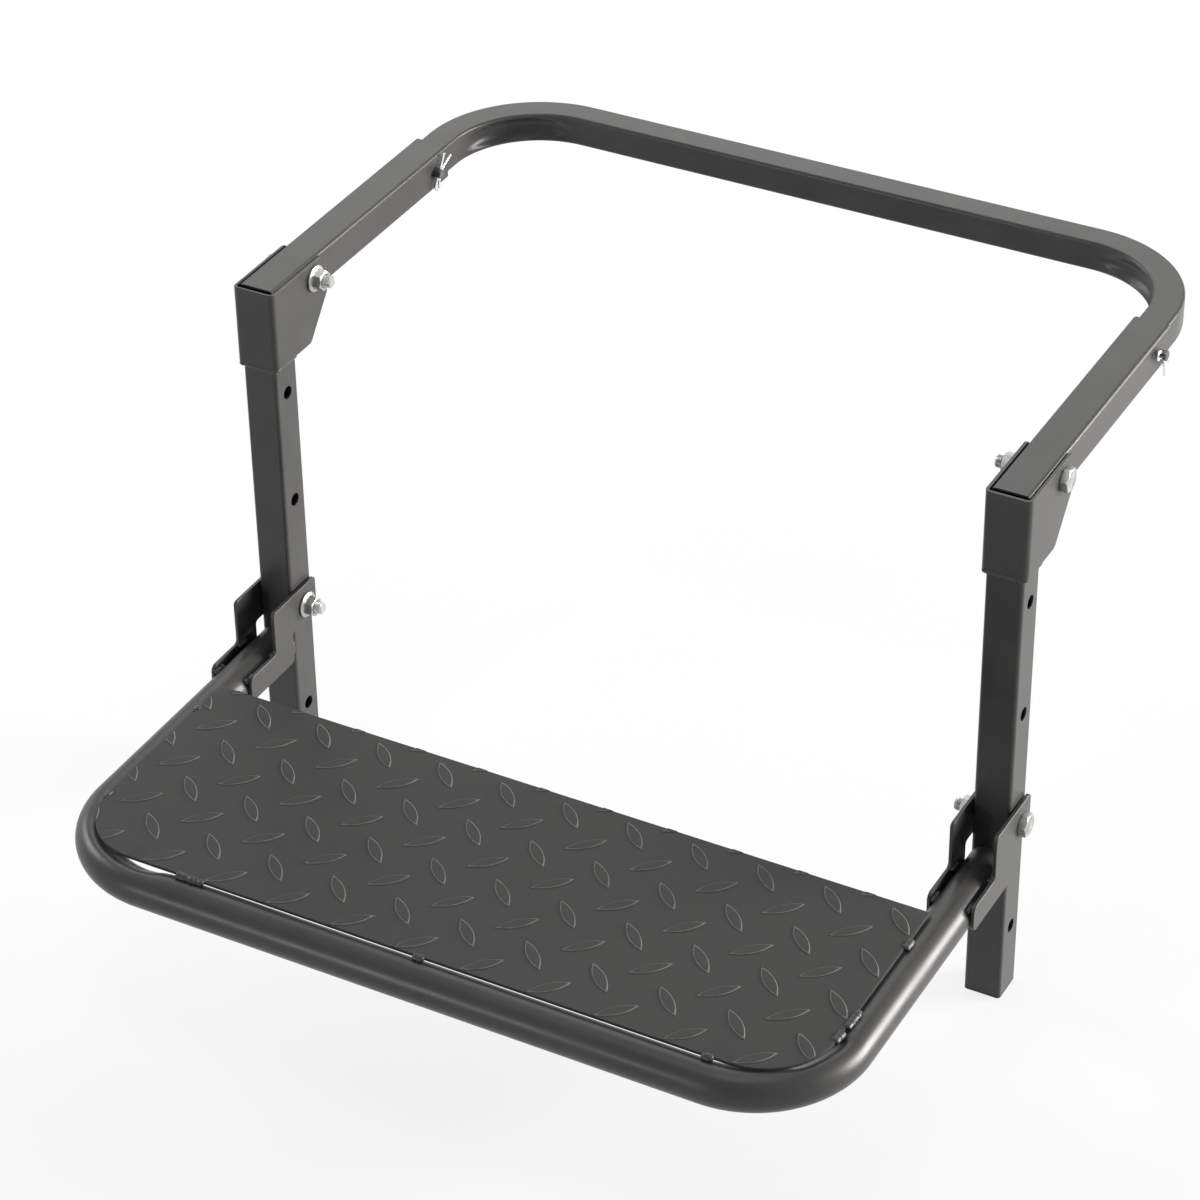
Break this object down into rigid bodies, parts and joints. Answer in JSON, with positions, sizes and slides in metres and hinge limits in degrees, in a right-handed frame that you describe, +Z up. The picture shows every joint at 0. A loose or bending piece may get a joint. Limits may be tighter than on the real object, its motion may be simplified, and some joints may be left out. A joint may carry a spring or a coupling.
{
  "type": "tire step",
  "caption": "Black steel step that hooks over a vehicle tyre: folding hoop with square arms, punched posts, and a hinged diamond-tread platform in a bent round tube.",
  "frame": {"origin": "midway between the two posts, in the plane of their back faces, level with the undersides of the arms that lie on the tyre", "axes": "+X to the right of a person facing the tyre, +Y back over the tyre, +Z up"},
  "size_m": [0.6812, 0.722, 0.4595],
  "materials": {
    "black_frame": "satin powder coat",
    "black_tread": "satin powder coat",
    "zinc_hardware": "zinc plated",
    "clip_wire": "bright wire",
    "plug_plastic": "matte"
  },
  "bodies": {
    "posts": {"left_post": "black_frame", "left_post_plug": "plug_plastic", "left_corner_bracket": "black_frame", "left_fold_bolt": "zinc_hardware", "left_fold_nut": "zinc_hardware", "left_step_bolt": "zinc_hardware", "left_step_nut": "zinc_hardware", "right_post": "black_frame", "right_post_plug": "plug_plastic", "right_corner_bracket": "black_frame", "right_fold_bolt": "zinc_hardware", "right_fold_nut": "zinc_hardware", "right_step_bolt": "zinc_hardware", "right_step_nut": "zinc_hardware"},
    "hoop": {"left_arm": "black_frame", "left_hoop_pin": "zinc_hardware", "left_pin_clip": "clip_wire", "right_arm": "black_frame", "right_hoop_pin": "zinc_hardware", "right_pin_clip": "clip_wire", "rear_hoop": "black_frame"},
    "step": {"left_outer_plate": "black_frame", "left_inner_plate": "black_frame", "right_outer_plate": "black_frame", "right_inner_plate": "black_frame", "step_tube": "black_frame", "tread_plate": "black_tread"}
  },
  "joints": [
    {"name": "hoop_fold", "type": "hinge", "parent": "posts", "child": "hoop", "pos_m": [0, 0.028, 0.015], "axis": [-1, 0, 0], "range_deg": [0, 90]},
    {"name": "step_fold", "type": "hinge", "parent": "posts", "child": "step", "pos_m": [0, -0.015, -0.267], "axis": [-1, 0, 0], "range_deg": [0, 88]}
  ]
}
